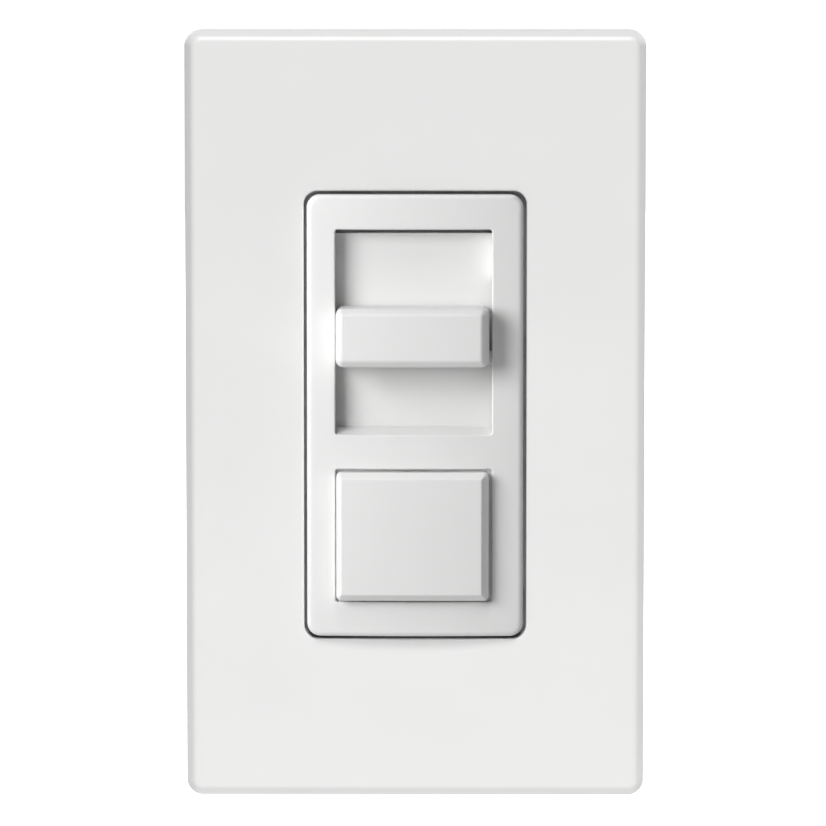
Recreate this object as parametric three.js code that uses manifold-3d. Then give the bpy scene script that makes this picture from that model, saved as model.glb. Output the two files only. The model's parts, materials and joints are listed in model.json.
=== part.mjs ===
// Slide dimmer with a push pad, a screwless cover and its wall-box mounting.
// Millimetres. +X is right seen from the front, +Z is up, and the front faces -Y.
// The origin is the middle of the device on the finished wall plane, so parts with y above 0
// sit inside the wall box.

import * as THREE from 'three';
import { mergeVertices } from 'three/addons/utils/BufferGeometryUtils.js';
import Module from 'manifold-3d';

const wasm = await Module();
wasm.setup();

// ---------------------------------------------------------------- driving dimensions

const FIT = 0.1;          // gap between fixed parts that rest on each other
const THROUGH = 1;        // how far a cutting tool runs past the face it cuts

// Standard single-gang spacings, centre to centre.
const BOX_SCREW_Z = 83.34 / 2;
const PLATE_SCREW_Z = 96.84 / 2;

const COVER = { width: 68.3, height: 114.3, front: -5.8, wall: 1.6, corner: 2.4, edge: 1.4 };
const WINDOW = { width: 33, height: 66.7, corner: 2 };
const LATCH = { reach: 0.8, front: -1.5, back: -0.7, length: 9, z: 30 };
const ADAPTER = { front: -3.1, back: -1.7, gap: 0.35, corner: 1, screwHole: 2, boxScrewHole: 4.6 };

const STRAP = { front: -1.6, back: 0, bodyX: 31.5, bodyZ: 33, earX: 22, earZ: 52.5, earCorner: 4 };
const SCORE = { x: [24.5, 28], width: 0.8, depth: 0.45 };

const BEZEL = { width: 32.1, height: 65.8, front: -7.4, back: -1.7, face: 1.2, wall: 1.3, corner: 1.9,
  edge: 0.7 };
// The openings sit a little left of the bezel's middle, and the knob and button a little further left.
const OPENING_X = -0.2;
const CAP_X = -0.35;
const RECESS = { halfWidth: 11.6, bottom: -2.7, top: 27.7, floor: -4.2, wall: 1 };
const LEDGE = { rise: 0.9, foot: 1.3 };
const TONGUE_SLOT_TOP = 20.4;
const PANEL = { halfWidth: 12.5, bottom: -7, topGap: 0.57, thickness: 1 };
const PANEL_LEG = { x: 11, halfWidth: 1, high: [23.5, 26.5], low: [-6.8, -4] };
const BEZEL_LEG = { x: 7, halfWidth: 1, z: 30.8, halfHeight: 0.6, clearance: 0.2 };

const KNOB = { width: 22.65, height: 8.7, z: 11.95, front: -12.4, back: -4.9, corner: 1.1, edge: 0.9,
  wall: 1.5 };
const TONGUE = { height: 2.1, front: -6, back: -4.7, legIn: 12.9, legOut: 14.4 };
const CARRIAGE = { halfHeight: 2.5, front: -3, back: -1.9 };
const STAKE = { halfWidth: 0.5, halfHeight: 0.6, clearance: 0.15 };

const BUTTON = { width: 22.65, height: 19.1, z: -17.8, front: -9.7, corner: 1.1, edge: 0.95, wall: 1.5 };
const FLANGE = { reach: 0.8, front: -6.1, back: -5.1 };
const BUTTON_OPENING = { halfWidth: 11.6, bottom: -27.7, top: -7.9 };
const POST = { radius: 2, back: -2.2 };
const SPRING = { radius: 3.4, wire: 0.3, turns: 4.5, front: -7.8, back: -2.5 };

const SWITCH = { half: 9, wall: 1.2, front: 0.6, back: 11.5, collar: 5.5, collarFront: -2.1, bore: 2.4 };
const PLUNGER = { radius: 2, front: -2, shoulder: 3.5, nose: 1, tip: 5 };
const ARM = { pivotX: -6.5, pivotY: 6.25, tip: 6, halfHeight: 2.5, thickness: 0.5, knuckle: 1.1, pin: 0.65 };
const CONTACT = { x: 4.8, radius: 1.2, thickness: 0.8, fixedFront: 9.2 };

const POT = { halfWidth: 4.5, bottom: -8, top: 26, front: 4, back: 10.9, wall: 0.8, slot: 1.2 };
const LEVER = { halfWidth: 0.8, halfHeight: 0.9, front: -2.4 };
const WIPER_BLOCK = { halfWidth: 2.6, halfHeight: 2.2, front: 5.2, back: 8.4 };
const TRACK = { front: 9.4, back: 10.4 };
const SLIDE_RANGE = [-9.2, 10.4];

const BOARD = { halfWidth: 16.8, halfHeight: 26.8, front: 12, back: 13.6 };
const HOUSING = { halfWidth: 22, halfHeight: 35, depth: 28, wall: 1.8, corner: 2, edge: 1 };
const CORNER_POST = { x: 12.8, halfWidth: 2.5, inner: 27.3 };
const RIVET = { x: 12.8, z: [29.6, -29.9], head: 1.55, headThickness: 0.7, shank: 1.3, length: 7 };
const TERMINAL = { z: -8, y: 14, halfHeight: 5.5, halfDepth: 6, floor: 19, wall: 1.6 };
const GROUND = { x: -10, halfWidth: 5, y: 5.5, tabEnd: 10, z: -37.8, thickness: 1.6, clamp: 0.8 };
const TRIAC = { x: 11.5, halfWidth: 5, tab: [8, 24], tabBack: 1.45, body: [-1.5, 7.9], bodyBack: 4.6,
  holeZ: 20.5 };
const TRIAC_RIVET = { head: 2.4, headThickness: 0.8, shank: 1.5, length: 3 };
const CHOKE = { x: -7.5, z: 13, inner: 4.5, outer: 8.5, front: 15.6, back: 20.6, wire: 0.9 };

const BOARD_SHELF_Z = 21.5;
const CARRIAGE_Z = KNOB.z - KNOB.height / 2 + TONGUE.height / 2;
const LEVER_TRAVEL = SLIDE_RANGE.map((value) => CARRIAGE_Z + value);

// ---------------------------------------------------------------- materials

const LOOKS = {
  whiteCover: [0xf2f2f0, 0.42, 0],
  whiteFace: [0xf4f4f2, 0.38, 0],
  adapterPlastic: [0xe9e9e6, 0.55, 0],
  greyPlastic: [0x55585c, 0.55, 0],
  blackPlastic: [0x1c1d1f, 0.5, 0],
  creamPlastic: [0xd8d2bf, 0.5, 0],
  aluminium: [0xb9bcc0, 0.4, 1],
  zincSteel: [0xa9adb2, 0.35, 1],
  springSteel: [0x8d9297, 0.3, 1],
  brass: [0xc49a4a, 0.35, 1],
  silverContact: [0xd2d4d6, 0.25, 1],
  greenScrew: [0x2f7d3b, 0.4, 1],
  fibre: [0x7a5535, 0.8, 0],
  board: [0x1f5a35, 0.6, 0],
  copperWire: [0xa65e2e, 0.35, 1],
  ferrite: [0x3a3d40, 0.7, 0],
  yellowFilm: [0xd9b12c, 0.45, 0],
  resistorTan: [0xc9b28a, 0.5, 0],
  glassOrange: [0xb5642a, 0.2, 0],
  ceramic: [0xe6e1d4, 0.6, 0],
};

// ---------------------------------------------------------------- solids and shapes

function solidOf(geometry) {
  geometry.deleteAttribute('normal');
  geometry.deleteAttribute('uv');
  const merged = mergeVertices(geometry, 1e-4);
  const mesh = new wasm.Mesh({
    numProp: 3,
    vertProperties: new Float32Array(merged.attributes.position.array),
    triVerts: new Uint32Array(merged.index.array),
  });
  return new wasm.Manifold(mesh);
}

function geometryOf(solid) {
  const mesh = solid.getMesh();
  const geometry = new THREE.BufferGeometry();
  geometry.setAttribute('position', new THREE.BufferAttribute(mesh.vertProperties, 3));
  geometry.setIndex(new THREE.BufferAttribute(mesh.triVerts, 1));
  geometry.computeVertexNormals();
  return geometry;
}

function join(first, ...others) {
  return others.reduce((whole, part) => whole.add(part), first);
}

function cut(body, ...tools) {
  return tools.reduce((left, tool) => left.subtract(tool), body);
}

// A box from its low and high limit on each axis.
function box([x0, x1], [y0, y1], [z0, z1]) {
  const geometry = new THREE.BoxGeometry(x1 - x0, y1 - y0, z1 - z0);
  geometry.translate((x0 + x1) / 2, (y0 + y1) / 2, (z0 + z1) / 2);
  return solidOf(geometry);
}

function around(centre, half) {
  return [centre - half, centre + half];
}

// The same limits on the other side of x = 0.
function mirrored([low, high], side) {
  return side > 0 ? [low, high] : [-high, -low];
}

function roundedRect(width, height, radius, z = 0) {
  const right = width / 2 - radius;
  const top = height / 2 - radius;
  const shape = new THREE.Shape();
  shape.absarc(right, z + top, radius, 0, Math.PI / 2);
  shape.absarc(-right, z + top, radius, Math.PI / 2, Math.PI);
  shape.absarc(-right, z - top, radius, Math.PI, Math.PI * 1.5);
  shape.absarc(right, z - top, radius, Math.PI * 1.5, Math.PI * 2);
  shape.closePath();
  return shape;
}

// An outline in X and Z, extruded along Y from front to back.
function slab(shape, front, back) {
  const options = { depth: back - front, bevelEnabled: false, curveSegments: 4 };
  const geometry = new THREE.ExtrudeGeometry(shape, options);
  geometry.rotateX(Math.PI / 2);
  geometry.translate(0, back, 0);
  return solidOf(geometry);
}

// A rounded block along Y. The edges of its face at `tip` are rounded, and its end at `base` is square.
function pad({ width, height, corner, edge, z = 0 }, tip, base) {
  const facing = Math.sign(base - tip);
  const options = {
    depth: Math.abs(base - tip),
    bevelThickness: edge,
    bevelSize: edge,
    bevelOffset: -edge,
    bevelSegments: 3,
    curveSegments: 4,
  };
  const geometry = new THREE.ExtrudeGeometry(roundedRect(width, height, corner, facing * z), options);
  geometry.rotateX((facing * Math.PI) / 2);
  geometry.translate(0, base + facing * edge, 0);
  const spare = [base, base + facing * 3 * edge].sort((low, high) => low - high);
  return cut(solidOf(geometry), box([-width, width], spare, around(z, height)));
}

function cylinder(radius, [y0, y1], x = 0, z = 0, sides = 16) {
  const geometry = new THREE.CylinderGeometry(radius, radius, y1 - y0, sides);
  geometry.translate(x, (y0 + y1) / 2, z);
  return solidOf(geometry);
}

function cylinderAlongZ(radius, x, y, [z0, z1], sides = 12) {
  const geometry = new THREE.CylinderGeometry(radius, radius, z1 - z0, sides);
  geometry.rotateX(Math.PI / 2);
  geometry.translate(x, y, (z0 + z1) / 2);
  return solidOf(geometry);
}

function cylinderAlongX(radius, [x0, x1], y, z, sides = 12) {
  const geometry = new THREE.CylinderGeometry(radius, radius, x1 - x0, sides);
  geometry.rotateZ(Math.PI / 2);
  geometry.translate((x0 + x1) / 2, y, z);
  return solidOf(geometry);
}

function revolved(points, sides = 16) {
  const profile = points.map(([radius, y]) => new THREE.Vector2(radius, y));
  return solidOf(new THREE.LatheGeometry(profile, sides));
}

function mesh(name, solid, look) {
  const [color, roughness, metalness] = LOOKS[look];
  const material = new THREE.MeshStandardMaterial({ color, roughness, metalness });
  const piece = new THREE.Mesh(geometryOf(solid), material);
  piece.name = name;
  return piece;
}

// ---------------------------------------------------------------- fasteners

// A slotted pan-head screw along +Y: the head's seat is at y = 0 and the shank runs to +length.
function screwSolid({ head, headThickness, shank, length }) {
  const tip = 0.5;
  const body = revolved([
    [0, -headThickness],
    [head * 0.72, -headThickness],
    [head * 0.93, -headThickness * 0.78],
    [head, -headThickness * 0.4],
    [head, 0],
    [shank, 0],
    [shank, length - tip],
    [shank - tip, length],
    [0, length],
  ]);
  const slotDepth = headThickness * 0.5;
  const slotY = [-headThickness - THROUGH, slotDepth - headThickness];
  const slot = box([-0.5, 0.5], slotY, around(0, head + THROUGH));
  return cut(body, slot);
}

function rivetSolid({ head, headThickness, shank, length }) {
  return revolved([
    [0, -headThickness],
    [head * 0.6, -headThickness],
    [head, -headThickness * 0.35],
    [head, 0],
    [shank, 0],
    [shank, length],
    [0, length],
  ], 12);
}

const BOX_SCREW = { head: 3.9, headThickness: 1.8, shank: 1.65, length: 23 };
const PLATE_SCREW = { head: 3.3, headThickness: 0.85, shank: 1.7, length: 6 };
const TERMINAL_SCREW = { head: 3.6, headThickness: 1.9, shank: 1.6, length: 3.9 };
const GROUND_SCREW = { head: 3.8, headThickness: 1.9, shank: 1.6, length: 3.2 };

function boxScrews() {
  return [['top', 1], ['bottom', -1]].map(([place, side]) => {
    const screw = mesh(`box_screw_${place}`, screwSolid(BOX_SCREW), 'zincSteel');
    screw.position.set(0, STRAP.front - FIT, side * BOX_SCREW_Z);
    screw.rotation.y = Math.PI / 2;
    return screw;
  });
}

function retainerWashers() {
  const half = 4.5;
  const thickness = 0.5;
  return [['top', 1], ['bottom', -1]].map(([place, side]) => {
    const z = side * BOX_SCREW_Z;
    const back = STRAP.back + FIT + thickness;
    const square = box([-half, half], [STRAP.back + FIT, back], around(z, half));
    const hole = cylinder(BOX_SCREW.shank + FIT, [-THROUGH, back + THROUGH], 0, z, 12);
    return mesh(`screw_retainer_washer_${place}`, cut(square, hole), 'fibre');
  });
}

function adapterScrews() {
  return [['top', 1], ['bottom', -1]].map(([place, side]) => {
    const screw = mesh(`adapter_screw_${place}`, screwSolid(PLATE_SCREW), 'zincSteel');
    screw.position.set(0, ADAPTER.front - FIT / 2, side * PLATE_SCREW_Z);
    screw.rotation.y = Math.PI / 2;
    return screw;
  });
}

function housingRivets() {
  const rivets = [];
  for (const z of RIVET.z) {
    for (const side of [-1, 1]) {
      const rivet = mesh(`housing_rivet_${rivets.length + 1}`, rivetSolid(RIVET), 'zincSteel');
      rivet.position.set(side * RIVET.x, STRAP.front - FIT / 2, z);
      rivets.push(rivet);
    }
  }
  return rivets;
}

// ---------------------------------------------------------------- cover and adapter

function wallplateCover() {
  const { width, height, front, wall, corner } = COVER;
  const inside = roundedRect(width - 2 * wall, height - 2 * wall, corner - 1);
  const shell = cut(
    pad(COVER, front, 0),
    slab(inside, front + wall, THROUGH),
    slab(roundedRect(WINDOW.width, WINDOW.height, WINDOW.corner), front - THROUGH, THROUGH),
  );
  const wallX = width / 2 - wall;
  const wallZ = height / 2 - wall;
  const depth = [LATCH.front, LATCH.back];
  const latches = [];
  for (const side of [-1, 1]) {
    const across = mirrored([wallX - LATCH.reach, wallX + FIT], side);
    for (const z of [-LATCH.z, LATCH.z]) {
      latches.push(box(across, depth, around(z, LATCH.length / 2)));
    }
    const upright = mirrored([wallZ - LATCH.reach, wallZ + FIT], side);
    latches.push(box(around(0, LATCH.length / 2), depth, upright));
  }
  return mesh('wallplate_cover', join(shell, ...latches), 'whiteCover');
}

function wallplateAdapter() {
  const width = COVER.width - 2 * (COVER.wall + ADAPTER.gap);
  const height = COVER.height - 2 * (COVER.wall + ADAPTER.gap);
  const through = [ADAPTER.front - THROUGH, ADAPTER.back + THROUGH];
  const holes = [];
  for (const side of [-1, 1]) {
    holes.push(cylinder(ADAPTER.boxScrewHole, through, 0, side * BOX_SCREW_Z));
    holes.push(cylinder(ADAPTER.screwHole, through, 0, side * PLATE_SCREW_Z));
  }
  const plate = cut(
    slab(roundedRect(width, height, ADAPTER.corner), ADAPTER.front, ADAPTER.back),
    slab(roundedRect(WINDOW.width, WINDOW.height, WINDOW.corner), ...through),
    ...holes,
  );
  return mesh('wallplate_adapter', plate, 'adapterPlastic');
}

// ---------------------------------------------------------------- bezel and slider

// The recess's lower end slopes from the bezel's face back to the floor panel.
function recessLedge() {
  const back = RECESS.floor - FIT;
  const side = new THREE.Shape();
  side.moveTo(BEZEL.front + BEZEL.edge, RECESS.bottom);
  side.lineTo(back, RECESS.bottom + LEDGE.rise);
  side.lineTo(back, RECESS.bottom - LEDGE.foot);
  side.lineTo(BEZEL.front + BEZEL.edge, RECESS.bottom - LEDGE.foot);
  side.closePath();
  const geometry = new THREE.ExtrudeGeometry(side, { depth: 2 * RECESS.halfWidth, bevelEnabled: false });
  geometry.rotateY(Math.PI / 2);
  geometry.rotateX(Math.PI / 2);
  geometry.translate(OPENING_X - RECESS.halfWidth, 0, 0);
  return solidOf(geometry);
}

function faceBezel() {
  const { width, height, front, back, face, wall } = BEZEL;
  const inner = roundedRect(width - 2 * wall, height - 2 * wall, BEZEL.corner - wall + 0.2);
  const through = [front - THROUGH, front + face + THROUGH];
  const recessWidth = around(OPENING_X, RECESS.halfWidth);
  const shell = cut(
    pad(BEZEL, front, back),
    slab(inner, front + face, back + THROUGH),
    box(recessWidth, through, [RECESS.bottom, RECESS.top]),
    box(around(OPENING_X, BUTTON_OPENING.halfWidth), through, [BUTTON_OPENING.bottom, BUTTON_OPENING.top]),
  );
  const wallDepth = [front + face - FIT, RECESS.floor - FIT];
  const outer = RECESS.halfWidth + RECESS.wall;
  const additions = [
    recessLedge(),
    box(around(OPENING_X, outer), wallDepth, [RECESS.top, RECESS.top + RECESS.wall]),
  ];
  for (const side of [-1, 1]) {
    const sideWall = mirrored([RECESS.halfWidth, outer], side).map((x) => OPENING_X + x);
    additions.push(box(sideWall, wallDepth, [TONGUE_SLOT_TOP, RECESS.top]));
    for (const x of [-BEZEL_LEG.x, BEZEL_LEG.x]) {
      const legZ = around(side * BEZEL_LEG.z, BEZEL_LEG.halfHeight);
      additions.push(box(around(x, BEZEL_LEG.halfWidth), [front + face - FIT, STRAP.back - FIT], legZ));
    }
  }
  return mesh('face_bezel', join(shell, ...additions), 'whiteFace');
}

function trackFloorPanel() {
  const back = RECESS.floor + PANEL.thickness;
  const top = RECESS.top - PANEL.topGap;
  const sheet = box([-PANEL.halfWidth, PANEL.halfWidth], [RECESS.floor, back], [PANEL.bottom, top]);
  const legs = [];
  for (const side of [-1, 1]) {
    for (const z of [PANEL_LEG.low, PANEL_LEG.high]) {
      const x = around(side * PANEL_LEG.x, PANEL_LEG.halfWidth);
      legs.push(box(x, [back - FIT, STRAP.front - FIT], z));
    }
  }
  return mesh('track_floor_panel', join(sheet, ...legs), 'whiteFace');
}

function sliderKnob() {
  const { width, height, z, front, back, wall } = KNOB;
  const inside = [front + wall, back + THROUGH];
  const cap = cut(
    pad(KNOB, front, back),
    box(around(0, width / 2 - wall), inside, around(z, height / 2 - wall)),
  ).translate([CAP_X, 0, 0]);
  const tongueZ = around(CARRIAGE_Z, TONGUE.height / 2);
  const limbs = [];
  for (const side of [-1, 1]) {
    const reach = mirrored([width / 2 - wall, TONGUE.legOut], side);
    limbs.push(box(reach, [TONGUE.front, TONGUE.back], tongueZ));
    const leg = mirrored([TONGUE.legIn, TONGUE.legOut], side);
    limbs.push(box(leg, [TONGUE.front, CARRIAGE.front - FIT], tongueZ));
    const stakeX = (side * (TONGUE.legIn + TONGUE.legOut)) / 2;
    const stake = [around(stakeX, STAKE.halfWidth), around(CARRIAGE_Z, STAKE.halfHeight)];
    limbs.push(box(stake[0], [CARRIAGE.front - 2 * FIT, CARRIAGE.back], stake[1]));
  }
  return mesh('slider_knob', join(cap, ...limbs), 'whiteFace');
}

function sliderCarriage() {
  const { halfHeight, front, back } = CARRIAGE;
  const through = [front - THROUGH, back + THROUGH];
  const holes = [
    box(
      around(0, LEVER.halfWidth + STAKE.clearance),
      through,
      around(CARRIAGE_Z, LEVER.halfHeight + STAKE.clearance),
    ),
  ];
  for (const side of [-1, 1]) {
    const x = (side * (TONGUE.legIn + TONGUE.legOut)) / 2;
    holes.push(box(
      around(x, STAKE.halfWidth + STAKE.clearance),
      through,
      around(CARRIAGE_Z, STAKE.halfHeight + STAKE.clearance),
    ));
  }
  const bar = box([-TONGUE.legOut, TONGUE.legOut], [front, back], around(CARRIAGE_Z, halfHeight));
  return mesh('slider_carriage', cut(bar, ...holes), 'creamPlastic');
}

// ---------------------------------------------------------------- slide potentiometer

function slidePotHousing() {
  const { halfWidth, bottom, top, front, back, wall, slot } = POT;
  const slotZ = [LEVER_TRAVEL[0] - 1.5, LEVER_TRAVEL[1] + 1.5];
  const can = cut(
    box([-halfWidth, halfWidth], [front, back], [bottom, top]),
    box([wall - halfWidth, halfWidth - wall], [front + wall, back + THROUGH], [bottom + wall, top - wall]),
    box([-slot, slot], [front - THROUGH, front + wall + THROUGH], slotZ),
  );
  const legs = [];
  for (const side of [-1, 1]) {
    for (const z of [[bottom, bottom + 1], [top - 1, top]]) {
      legs.push(box(mirrored([halfWidth - wall, halfWidth], side), [back - FIT, BOARD.front - FIT], z));
    }
  }
  return mesh('slide_pot_housing', join(can, ...legs), 'zincSteel');
}

function slidePotTrack() {
  const x = POT.halfWidth - POT.wall - FIT;
  const z = [POT.bottom + POT.wall + FIT, POT.top - POT.wall - FIT];
  return mesh('slide_pot_track', box([-x, x], [TRACK.front, TRACK.back], z), 'fibre');
}

function slidePotLever() {
  const { halfWidth, halfHeight, front } = LEVER;
  const stem = box([-halfWidth, halfWidth], [front, WIPER_BLOCK.front + FIT], around(CARRIAGE_Z, halfHeight));
  const block = box(
    around(0, WIPER_BLOCK.halfWidth),
    [WIPER_BLOCK.front, WIPER_BLOCK.back],
    around(CARRIAGE_Z, WIPER_BLOCK.halfHeight),
  );
  return mesh('slide_pot_lever', join(stem, block), 'blackPlastic');
}

function wiperContact() {
  const y = [WIPER_BLOCK.back + FIT, TRACK.front - FIT];
  const halfWidth = WIPER_BLOCK.halfWidth - 0.6;
  const bow = box([-halfWidth, halfWidth], y, around(CARRIAGE_Z, WIPER_BLOCK.halfHeight - 0.4));
  const relief = box([-0.5, 0.5], [y[0] - THROUGH, y[1] + THROUGH], around(CARRIAGE_Z - 1, 1.2));
  return mesh('slide_pot_wiper', cut(bow, relief), 'silverContact');
}

// ---------------------------------------------------------------- push button and switch

function pushButton() {
  const { width, height, z, front, wall } = BUTTON;
  const flange = slab(
    roundedRect(width + 2 * FLANGE.reach, height + 2 * FLANGE.reach, BUTTON.corner, z),
    FLANGE.front,
    FLANGE.back,
  );
  const pocket = box(
    around(0, width / 2 - wall),
    [front + wall, FLANGE.back + THROUGH],
    around(z, height / 2 - wall),
  );
  const post = cylinder(POST.radius, [front + wall - FIT, POST.back], 0, z);
  const cap = cut(join(pad(BUTTON, front, FLANGE.back), flange), pocket).translate([CAP_X, 0, 0]);
  return mesh('push_button', join(cap, post), 'whiteFace');
}

class SpringCurve extends THREE.Curve {
  getPoint(t, target = new THREE.Vector3()) {
    const angle = t * SPRING.turns * Math.PI * 2;
    const y = SPRING.front + t * (SPRING.back - SPRING.front);
    return target.set(SPRING.radius * Math.cos(angle), y, BUTTON.z + SPRING.radius * Math.sin(angle));
  }
}

function buttonReturnSpring() {
  const stepsPerTurn = 12;
  const wireSides = 5;
  const section = new THREE.Shape();
  section.absarc(0, 0, SPRING.wire, 0, Math.PI * 2);
  const geometry = new THREE.ExtrudeGeometry(section, {
    steps: SPRING.turns * stepsPerTurn,
    extrudePath: new SpringCurve(),
    curveSegments: wireSides,
  });
  return mesh('button_return_spring', solidOf(geometry), 'springSteel');
}

function switchBody() {
  const { half, wall, front, back, collar, collarFront, bore } = SWITCH;
  const z = BUTTON.z;
  const shell = cut(
    box([-half, half], [front, back], around(z, half)),
    box(around(0, half - wall), [front + wall, back + THROUGH], around(z, half - wall)),
  );
  const neck = cylinder(collar, [collarFront, front + FIT], 0, z, 20);
  const hole = cylinder(bore, [collarFront - THROUGH, front + wall + THROUGH], 0, z);
  return mesh('switch_body', cut(join(shell, neck), hole), 'greyPlastic');
}

function switchPlunger() {
  const { radius, front, shoulder, nose, tip } = PLUNGER;
  const solid = revolved([
    [0, front],
    [radius, front],
    [radius, shoulder],
    [nose, shoulder + 0.6],
    [nose, tip],
    [0, tip],
  ], 12);
  const plunger = mesh('switch_plunger', solid, 'creamPlastic');
  plunger.position.z = BUTTON.z;
  return plunger;
}

function contactArm() {
  const { pivotX, pivotY, tip, halfHeight, thickness, knuckle, pin } = ARM;
  const z = around(BUTTON.z, halfHeight);
  const leaf = box([pivotX, tip], around(pivotY, thickness / 2), z);
  const roll = cylinderAlongZ(knuckle, pivotX, pivotY, z);
  const pinHole = [BUTTON.z - halfHeight - THROUGH, BUTTON.z + halfHeight + THROUGH];
  const bore = cylinderAlongZ(pin + 0.1, pivotX, pivotY, pinHole);
  return mesh('contact_arm', cut(join(leaf, roll), bore), 'brass');
}

function contactArmPin() {
  const reach = SWITCH.half - SWITCH.wall - FIT;
  const pin = cylinderAlongZ(ARM.pin, ARM.pivotX, ARM.pivotY, around(BUTTON.z, reach));
  return mesh('contact_arm_pin', pin, 'springSteel');
}

function movingContact() {
  const front = ARM.pivotY + ARM.thickness / 2 + FIT / 2;
  const stud = cylinder(CONTACT.radius, [front, front + CONTACT.thickness], CONTACT.x, BUTTON.z, 12);
  return mesh('moving_contact', stud, 'silverContact');
}

function fixedContact() {
  const foot = SWITCH.back - FIT;
  const plateFront = CONTACT.fixedFront + CONTACT.thickness;
  const stud = cylinder(
    CONTACT.radius,
    [CONTACT.fixedFront, plateFront + FIT],
    CONTACT.x,
    BUTTON.z,
    12,
  );
  const plateX = [CONTACT.x - 2, SWITCH.half - SWITCH.wall - FIT];
  const plate = box(plateX, [plateFront, foot], around(BUTTON.z, 2.5));
  return mesh('fixed_contact', join(stud, plate), 'brass');
}

// ---------------------------------------------------------------- strap and housing

function strapOutline() {
  const { bodyX, bodyZ, earX, earZ, earCorner } = STRAP;
  const shape = new THREE.Shape();
  shape.moveTo(bodyX, -bodyZ);
  shape.lineTo(bodyX, bodyZ);
  shape.lineTo(earX, bodyZ);
  shape.lineTo(earX, earZ - earCorner);
  shape.absarc(earX - earCorner, earZ - earCorner, earCorner, 0, Math.PI / 2);
  shape.absarc(earCorner - earX, earZ - earCorner, earCorner, Math.PI / 2, Math.PI);
  shape.lineTo(-earX, bodyZ);
  shape.lineTo(-bodyX, bodyZ);
  shape.lineTo(-bodyX, -bodyZ);
  shape.lineTo(-earX, -bodyZ);
  shape.absarc(earCorner - earX, earCorner - earZ, earCorner, Math.PI, Math.PI * 1.5);
  shape.absarc(earX - earCorner, earCorner - earZ, earCorner, Math.PI * 1.5, Math.PI * 2);
  shape.lineTo(earX, -bodyZ);
  shape.closePath();
  return shape;
}

function strapHoles() {
  const through = [STRAP.front - THROUGH, STRAP.back + THROUGH];
  const slotRadius = 2.1;
  const slotReach = 2;
  const tools = [
    cylinder(SWITCH.collar + 0.4, through, 0, BUTTON.z, 20),
    box(around(0, 2.6), through, [LEVER_TRAVEL[0] - 2.4, LEVER_TRAVEL[1] + 2.4]),
    cylinder(TRIAC_RIVET.shank + 0.2, through, TRIAC.x, TRIAC.holeZ, 12),
  ];
  for (const side of [-1, 1]) {
    const slotZ = side * BOX_SCREW_Z;
    tools.push(box(around(0, slotReach), through, around(slotZ, slotRadius)));
    tools.push(cylinder(slotRadius, through, -slotReach, slotZ));
    tools.push(cylinder(slotRadius, through, slotReach, slotZ));
    tools.push(cylinder(PLATE_SCREW.shank + 0.2, through, 0, side * PLATE_SCREW_Z));
    for (const z of RIVET.z) {
      tools.push(cylinder(RIVET.shank + 0.15, through, side * RIVET.x, z, 12));
    }
    for (const z of [-BEZEL_LEG.z, BEZEL_LEG.z]) {
      const x = around(side * BEZEL_LEG.x, BEZEL_LEG.halfWidth + BEZEL_LEG.clearance);
      tools.push(box(x, through, around(z, BEZEL_LEG.halfHeight + BEZEL_LEG.clearance)));
    }
  }
  return tools;
}

// Score grooves on both faces, so the side fins can be broken off.
function scoreGrooves() {
  const length = [-STRAP.bodyZ - THROUGH, STRAP.bodyZ + THROUGH];
  const tools = [];
  for (const side of [-1, 1]) {
    for (const x of SCORE.x) {
      const across = around(side * x, SCORE.width / 2);
      tools.push(box(across, [STRAP.front - THROUGH, STRAP.front + SCORE.depth], length));
      tools.push(box(across, [STRAP.back - SCORE.depth, STRAP.back + THROUGH], length));
    }
  }
  return tools;
}

function mountingStrap() {
  const { x, halfWidth, y, tabEnd, z, thickness } = GROUND;
  const tab = cut(
    box(around(x, halfWidth), [STRAP.back - FIT, tabEnd], [z, z + thickness]),
    cylinderAlongZ(GROUND_SCREW.shank + 0.2, x, y, [z - THROUGH, z + thickness + THROUGH]),
  );
  const plate = cut(slab(strapOutline(), STRAP.front, STRAP.back), ...strapHoles(), ...scoreGrooves());
  return mesh('mounting_strap', join(plate, tab), 'aluminium');
}

function groundClamp() {
  const { x, y, z } = GROUND;
  const limits = [z - FIT - GROUND.clamp, z - FIT];
  const plate = box(around(x, 4.2), around(y, 3.9), limits);
  const hole = cylinderAlongZ(GROUND_SCREW.shank + 0.2, x, y, [limits[0] - THROUGH, limits[1] + THROUGH]);
  return mesh('ground_clamp', cut(plate, hole), 'zincSteel');
}

function groundScrew() {
  const screw = mesh('ground_screw', screwSolid(GROUND_SCREW), 'greenScrew');
  screw.position.set(GROUND.x, GROUND.y, GROUND.z - GROUND.clamp - 2 * FIT);
  screw.rotation.x = Math.PI / 2;
  return screw;
}

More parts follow.
